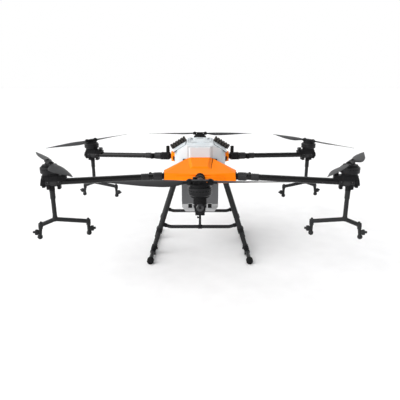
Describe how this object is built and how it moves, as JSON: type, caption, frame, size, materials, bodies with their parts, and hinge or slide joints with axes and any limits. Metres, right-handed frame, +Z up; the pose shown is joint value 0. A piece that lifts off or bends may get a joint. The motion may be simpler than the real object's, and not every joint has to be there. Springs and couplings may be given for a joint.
{
  "type": "agricultural spray drone",
  "caption": "Spray drone with folding carbon arms round a faceted orange and white body, folding propellers, a hung spray tank, twin-nozzle booms and tubular skids.",
  "frame": {"origin": "on the ground under the middle of the body, at the centre of the bounding box", "axes": "+Z up, front of the drone towards -Y, +X to the right in the front view"},
  "size_m": [1.7796, 1.7268, 0.6399],
  "materials": {
    "gloss_carbon": "woven carbon tube under clear gloss lacquer",
    "frame_carbon": "matt carbon plate",
    "blade_carbon": "satin carbon composite",
    "black_plastic": "fine-grained black nylon",
    "motor_alloy": "dark anodised alloy",
    "black_tube": "satin black powder coat",
    "skid_tube": "black tube with rubber ends",
    "orange_shell": "satin orange moulded shell",
    "white_shell": "satin white moulded shell",
    "ribbed_grip": "dark ribbed plastic",
    "tank_grey": "smoke-grey moulded polyethylene"
  },
  "bodies": {
    "airframe": {"antenna_rear_left": "black_plastic", "antenna_rear_right": "black_plastic", "centre_frame": "frame_carbon", "crossbar_front": "black_tube", "crossbar_rear": "black_tube", "flight_controller": "black_plastic", "fold_socket_front_left": "black_plastic", "fold_socket_front_right": "black_plastic", "fold_socket_rear_left": "black_plastic", "fold_socket_rear_right": "black_plastic", "front_cover": "orange_shell", "grip_left": "ribbed_grip", "grip_right": "ribbed_grip", "leg_front_left": "black_tube", "leg_front_right": "black_tube", "leg_rear_left": "black_tube", "leg_rear_right": "black_tube", "rear_cover": "orange_shell", "skid_left": "skid_tube", "skid_right": "skid_tube", "spray_pump": "black_plastic", "spray_tank": "tank_grey", "top_housing": "white_shell"},
    "arm_front": {"arm_tube_front": "gloss_carbon", "motor_mount_front": "black_plastic"},
    "propeller_hub_front": {"rotor_front": "motor_alloy"},
    "propeller_blade_front_a": {"blade_front_a": "blade_carbon"},
    "propeller_blade_front_b": {"blade_front_b": "blade_carbon"},
    "arm_front_left": {"arm_tube_front_left": "gloss_carbon", "motor_mount_front_left": "black_plastic", "nozzle_boom_front_left": "black_tube"},
    "propeller_hub_front_left": {"rotor_front_left": "motor_alloy"},
    "propeller_blade_front_left_a": {"blade_front_left_a": "blade_carbon"},
    "propeller_blade_front_left_b": {"blade_front_left_b": "blade_carbon"},
    "arm_rear_left": {"arm_tube_rear_left": "gloss_carbon", "motor_mount_rear_left": "black_plastic", "nozzle_boom_rear_left": "black_tube"},
    "propeller_hub_rear_left": {"rotor_rear_left": "motor_alloy"},
    "propeller_blade_rear_left_a": {"blade_rear_left_a": "blade_carbon"},
    "propeller_blade_rear_left_b": {"blade_rear_left_b": "blade_carbon"},
    "arm_rear": {"arm_tube_rear": "gloss_carbon", "motor_mount_rear": "black_plastic"},
    "propeller_hub_rear": {"rotor_rear": "motor_alloy"},
    "propeller_blade_rear_a": {"blade_rear_a": "blade_carbon"},
    "propeller_blade_rear_b": {"blade_rear_b": "blade_carbon"},
    "arm_rear_right": {"arm_tube_rear_right": "gloss_carbon", "motor_mount_rear_right": "black_plastic", "nozzle_boom_rear_right": "black_tube"},
    "propeller_hub_rear_right": {"rotor_rear_right": "motor_alloy"},
    "propeller_blade_rear_right_a": {"blade_rear_right_a": "blade_carbon"},
    "propeller_blade_rear_right_b": {"blade_rear_right_b": "blade_carbon"},
    "arm_front_right": {"arm_tube_front_right": "gloss_carbon", "motor_mount_front_right": "black_plastic", "nozzle_boom_front_right": "black_tube"},
    "propeller_hub_front_right": {"rotor_front_right": "motor_alloy"},
    "propeller_blade_front_right_a": {"blade_front_right_a": "blade_carbon"},
    "propeller_blade_front_right_b": {"blade_front_right_b": "blade_carbon"},
    "battery": {"battery_pack": "white_shell"},
    "filler_cap": {"tank_cap": "white_shell"}
  },
  "joints": [
    {"name": "fold_front", "type": "hinge", "parent": "airframe", "child": "arm_front", "pos_m": [-0.027, -0.40054, 0.48083], "axis": [0, 0.0142, -0.9999], "range_deg": [0, 60]},
    {"name": "spin_front", "type": "hinge", "parent": "arm_front", "child": "propeller_hub_front", "pos_m": [0, -0.81331, 0.53199], "axis": [0, -0.0142, 0.9999], "continuous": true},
    {"name": "blade_fold_front_a", "type": "hinge", "parent": "propeller_hub_front", "child": "propeller_blade_front_a", "pos_m": [0.039, -0.8138, 0.56699], "axis": [0, -0.0142, 0.9999], "range_deg": [-90, 90]},
    {"name": "blade_fold_front_b", "type": "hinge", "parent": "propeller_hub_front", "child": "propeller_blade_front_b", "pos_m": [-0.039, -0.8138, 0.56699], "axis": [0, -0.0142, 0.9999], "range_deg": [-90, 90]},
    {"name": "fold_front_left", "type": "hinge", "parent": "airframe", "child": "arm_front_left", "pos_m": [-0.24656, -0.29376, 0.48166], "axis": [0.0139, 0.0026, -0.9999], "range_deg": [0, 50]},
    {"name": "spin_front_left", "type": "hinge", "parent": "arm_front_left", "child": "propeller_hub_front_left", "pos_m": [-0.70444, -0.4064, 0.53199], "axis": [-0.0139, -0.0026, 0.9999], "continuous": true},
    {"name": "blade_fold_front_left_a", "type": "hinge", "parent": "propeller_hub_front_left", "child": "propeller_blade_front_left_a", "pos_m": [-0.72442, -0.37271, 0.56681], "axis": [-0.0139, -0.0026, 0.9999], "range_deg": [-90, 90]},
    {"name": "blade_fold_front_left_b", "type": "hinge", "parent": "propeller_hub_front_left", "child": "propeller_blade_front_left_b", "pos_m": [-0.68543, -0.44026, 0.56717], "axis": [-0.0139, -0.0026, 0.9999], "range_deg": [-90, 90]},
    {"name": "fold_rear_left", "type": "hinge", "parent": "airframe", "child": "arm_rear_left", "pos_m": [-0.30357, 0.30437, 0.48083], "axis": [-0.0139, 0.0026, 0.9999], "range_deg": [0, 30]},
    {"name": "spin_rear_left", "type": "hinge", "parent": "arm_rear_left", "child": "propeller_hub_rear_left", "pos_m": [-0.70444, 0.4064, 0.53199], "axis": [-0.0139, 0.0026, 0.9999], "continuous": true},
    {"name": "blade_fold_rear_left_a", "type": "hinge", "parent": "propeller_hub_rear_left", "child": "propeller_blade_rear_left_a", "pos_m": [-0.68662, 0.44092, 0.56716], "axis": [-0.0139, 0.0026, 0.9999], "range_deg": [-90, 90]},
    {"name": "blade_fold_rear_left_b", "type": "hinge", "parent": "propeller_hub_rear_left", "child": "propeller_blade_rear_left_b", "pos_m": [-0.72323, 0.37205, 0.56683], "axis": [-0.0139, 0.0026, 0.9999], "range_deg": [-90, 90]},
    {"name": "fold_rear", "type": "hinge", "parent": "airframe", "child": "arm_rear", "pos_m": [0.027, 0.40054, 0.48083], "axis": [0, -0.0142, -0.9999], "range_deg": [0, 60]},
    {"name": "spin_rear", "type": "hinge", "parent": "arm_rear", "child": "propeller_hub_rear", "pos_m": [0, 0.81331, 0.53199], "axis": [0, 0.0142, 0.9999], "continuous": true},
    {"name": "blade_fold_rear_a", "type": "hinge", "parent": "propeller_hub_rear", "child": "propeller_blade_rear_a", "pos_m": [0.039, 0.8138, 0.56699], "axis": [0, 0.0142, 0.9999], "range_deg": [-90, 90]},
    {"name": "blade_fold_rear_b", "type": "hinge", "parent": "propeller_hub_rear", "child": "propeller_blade_rear_b", "pos_m": [-0.039, 0.8138, 0.56699], "axis": [0, 0.0142, 0.9999], "range_deg": [-90, 90]},
    {"name": "fold_rear_right", "type": "hinge", "parent": "airframe", "child": "arm_rear_right", "pos_m": [0.30357, 0.30437, 0.48083], "axis": [-0.0139, -0.0026, -0.9999], "range_deg": [0, 30]},
    {"name": "spin_rear_right", "type": "hinge", "parent": "arm_rear_right", "child": "propeller_hub_rear_right", "pos_m": [0.70444, 0.4064, 0.53199], "axis": [0.0139, 0.0026, 0.9999], "continuous": true},
    {"name": "blade_fold_rear_right_a", "type": "hinge", "parent": "propeller_hub_rear_right", "child": "propeller_blade_rear_right_a", "pos_m": [0.68662, 0.44092, 0.56716], "axis": [0.0139, 0.0026, 0.9999], "range_deg": [-90, 90]},
    {"name": "blade_fold_rear_right_b", "type": "hinge", "parent": "propeller_hub_rear_right", "child": "propeller_blade_rear_right_b", "pos_m": [0.72323, 0.37205, 0.56683], "axis": [0.0139, 0.0026, 0.9999], "range_deg": [-90, 90]},
    {"name": "fold_front_right", "type": "hinge", "parent": "airframe", "child": "arm_front_right", "pos_m": [0.24656, -0.29376, 0.48166], "axis": [0.0139, -0.0026, 0.9999], "range_deg": [0, 50]},
    {"name": "spin_front_right", "type": "hinge", "parent": "arm_front_right", "child": "propeller_hub_front_right", "pos_m": [0.70444, -0.4064, 0.53199], "axis": [0.0139, -0.0026, 0.9999], "continuous": true},
    {"name": "blade_fold_front_right_a", "type": "hinge", "parent": "propeller_hub_front_right", "child": "propeller_blade_front_right_a", "pos_m": [0.72442, -0.37271, 0.56681], "axis": [0.0139, -0.0026, 0.9999], "range_deg": [-90, 90]},
    {"name": "blade_fold_front_right_b", "type": "hinge", "parent": "propeller_hub_front_right", "child": "propeller_blade_front_right_b", "pos_m": [0.68543, -0.44026, 0.56717], "axis": [0.0139, -0.0026, 0.9999], "range_deg": [-90, 90]},
    {"name": "battery_lift", "type": "slide", "parent": "airframe", "child": "battery", "axis": [0, 0, 1], "range_m": [0, 0.25]},
    {"name": "tank_cap_lift", "type": "slide", "parent": "airframe", "child": "filler_cap", "axis": [0, 0, 1], "range_m": [0, 0.1]}
  ]
}
